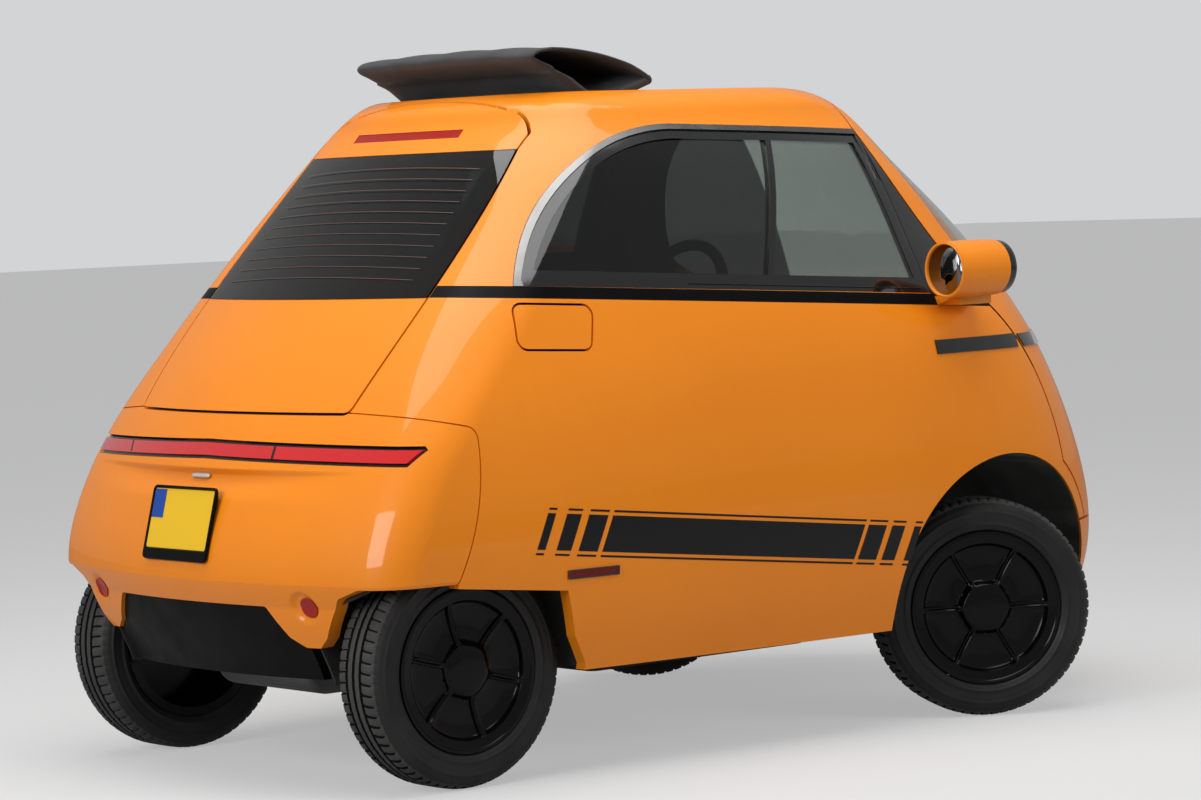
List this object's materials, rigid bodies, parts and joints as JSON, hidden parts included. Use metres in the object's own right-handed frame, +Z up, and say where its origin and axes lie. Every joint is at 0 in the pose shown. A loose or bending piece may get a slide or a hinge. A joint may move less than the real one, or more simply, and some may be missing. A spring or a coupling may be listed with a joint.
{
  "type": "microcar",
  "caption": "Rounded two-seat electric microcar with a front-opening door, rear hatch, exposed wheels, arched side windows and an open folding fabric roof.",
  "frame": {"origin": "on the ground under the middle of the overall box: half way between nose and tail and on the car's centre plane", "axes": "+X forwards along the car, +Y to its left, +Z up"},
  "size_m": [2.4942, 1.618, 1.5823],
  "materials": {
    "orange_paint": "gloss",
    "black_plastic": "satin",
    "gloss_black": "gloss",
    "satin_alloy": "satin",
    "alloy_wheels": "satin",
    "glazing": "gloss",
    "lamp_white": "gloss",
    "lamp_red": "gloss",
    "plate_white": "satin",
    "mirror_face": "gloss",
    "frame_steel": "satin",
    "motor_case": "satin",
    "tyre_rubber": "satin",
    "seat_cloth": "matte",
    "soft_roof": "matte",
    "wheel_grip": "satin"
  },
  "bodies": {
    "body": {"side_panel_right": "orange_paint", "side_panel_left": "orange_paint", "charge_socket": "black_plastic", "belt_trim": "black_plastic", "front_pillars": "gloss_black", "roof_frame": "orange_paint", "arch_trim": "satin_alloy", "window_frames": "gloss_black", "side_glass": "glazing", "handle_strips": "gloss_black", "front_bumper": "orange_paint", "rear_bumper": "orange_paint", "tail_lamp_housing": "gloss_black", "tail_lamp_lens": "lamp_red", "diffuser": "black_plastic", "reflectors": "lamp_red", "side_markers": "black_plastic", "number_plate": "plate_white", "pods": "orange_paint", "mirror_glasses": "mirror_face", "headlamps": "lamp_white", "door_hinge": "frame_steel", "floor_pan": "frame_steel", "front_liners": "black_plastic", "rear_liners": "black_plastic", "battery_box": "frame_steel", "drive_motor": "motor_case", "rear_arms": "frame_steel", "front_arms": "frame_steel", "seat_cushion": "seat_cloth", "seat_back": "seat_cloth", "steering_column": "black_plastic", "folded_roof": "soft_roof", "hatch_seal": "black_plastic"},
    "front_door": {"front_door": "orange_paint", "windscreen": "glazing", "front_light_bar": "lamp_white", "hinge_strap": "frame_steel"},
    "rear_hatch": {"rear_hatch": "orange_paint", "rear_glass": "glazing", "brake_lamp": "lamp_red"},
    "charge_flap": {"charge_flap": "orange_paint"},
    "knuckle_right": {"knuckle_right": "frame_steel"},
    "knuckle_left": {"knuckle_left": "frame_steel"},
    "front_right_wheel": {"wheel_front_right": "alloy_wheels", "tyre_front_right": "tyre_rubber"},
    "front_left_wheel": {"wheel_front_left": "alloy_wheels", "tyre_front_left": "tyre_rubber"},
    "rear_right_wheel": {"wheel_rear_right": "alloy_wheels", "tyre_rear_right": "tyre_rubber"},
    "rear_left_wheel": {"wheel_rear_left": "alloy_wheels", "tyre_rear_left": "tyre_rubber"},
    "steering_wheel": {"steering_wheel": "wheel_grip"}
  },
  "joints": [
    {"name": "front_door_hinge", "type": "hinge", "parent": "body", "child": "front_door", "pos_m": [0.64, 0.718, 0.796], "axis": [0, 0, 1], "range_deg": [0, 80]},
    {"name": "rear_hatch_hinge", "type": "hinge", "parent": "body", "child": "rear_hatch", "pos_m": [-0.495, 0, 1.462], "axis": [0, 1, 0], "range_deg": [0, 65]},
    {"name": "charge_flap_hinge", "type": "hinge", "parent": "body", "child": "charge_flap", "pos_m": [-0.5555, -0.6355, 0.9685], "axis": [0.3219, 0.2414, 0.9155], "range_deg": [0, 100]},
    {"name": "steering_right", "type": "hinge", "parent": "body", "child": "knuckle_right", "pos_m": [0.5835, -0.6048, 0.253], "axis": [0, 0, 1], "range_deg": [-6, 64]},
    {"name": "steering_left", "type": "hinge", "parent": "body", "child": "knuckle_left", "pos_m": [0.5835, 0.6048, 0.253], "axis": [0, 0, 1], "range_deg": [-6, 64]},
    {"name": "wheel_spin_front_right", "type": "hinge", "parent": "knuckle_right", "child": "front_right_wheel", "pos_m": [0.56896, -0.63104, 0.253], "axis": [0.4848, 0.8746, 0], "continuous": true},
    {"name": "wheel_spin_front_left", "type": "hinge", "parent": "knuckle_left", "child": "front_left_wheel", "pos_m": [0.59804, 0.63104, 0.253], "axis": [0.4848, 0.8746, 0], "continuous": true},
    {"name": "wheel_spin_rear_right", "type": "hinge", "parent": "body", "child": "rear_right_wheel", "pos_m": [-0.896, -0.525, 0.253], "axis": [0, 1, 0], "continuous": true},
    {"name": "wheel_spin_rear_left", "type": "hinge", "parent": "body", "child": "rear_left_wheel", "pos_m": [-0.896, 0.525, 0.253], "axis": [0, 1, 0], "continuous": true},
    {"name": "steering_wheel_turn", "type": "hinge", "parent": "body", "child": "steering_wheel", "pos_m": [0.43, 0.27, 0.95], "axis": [-0.9063, 0, 0.4226], "range_deg": [-80, 840]}
  ],
  "couplings": [
    {"joint": "steering_left", "follows": "steering_right", "ratio": 1},
    {"joint": "steering_wheel_turn", "follows": "steering_right", "ratio": 13}
  ]
}
